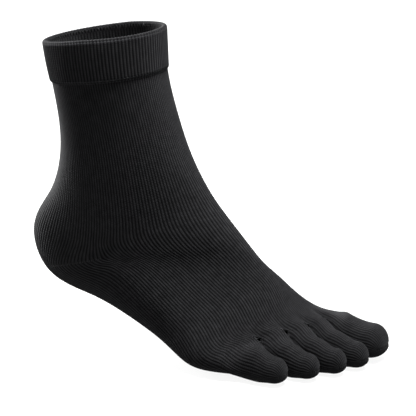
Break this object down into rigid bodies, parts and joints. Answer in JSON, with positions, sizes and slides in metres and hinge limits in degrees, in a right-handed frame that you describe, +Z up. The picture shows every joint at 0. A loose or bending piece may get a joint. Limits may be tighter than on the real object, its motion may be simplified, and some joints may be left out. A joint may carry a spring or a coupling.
{
  "type": "toe sock",
  "caption": "Ribbed knit toe sock for a right foot, worn shape with lifted heel: doubled cuff, turned heel, and a separate pocket for each toe.",
  "frame": {"origin": "middle of the opening where the leg goes in, at the skin of the cuff's rim", "axes": "+X towards the toes, +Y towards the big toe's side, +Z up the leg; the toes would stand on a floor 0.2005 m below the origin"},
  "size_m": [0.2303, 0.0949, 0.2067],
  "materials": {
    "ribbed_knit": "matte black rib knit with a fine fuzz",
    "cuff_knit": "matte black doubled rib knit"
  },
  "bodies": {
    "root": {"cuff": "cuff_knit", "leg": "ribbed_knit", "foot": "ribbed_knit", "heel_pocket": "ribbed_knit", "little_toe": "ribbed_knit", "fourth_toe": "ribbed_knit", "third_toe": "ribbed_knit", "second_toe": "ribbed_knit", "big_toe": "ribbed_knit"}
  },
  "joints": []
}
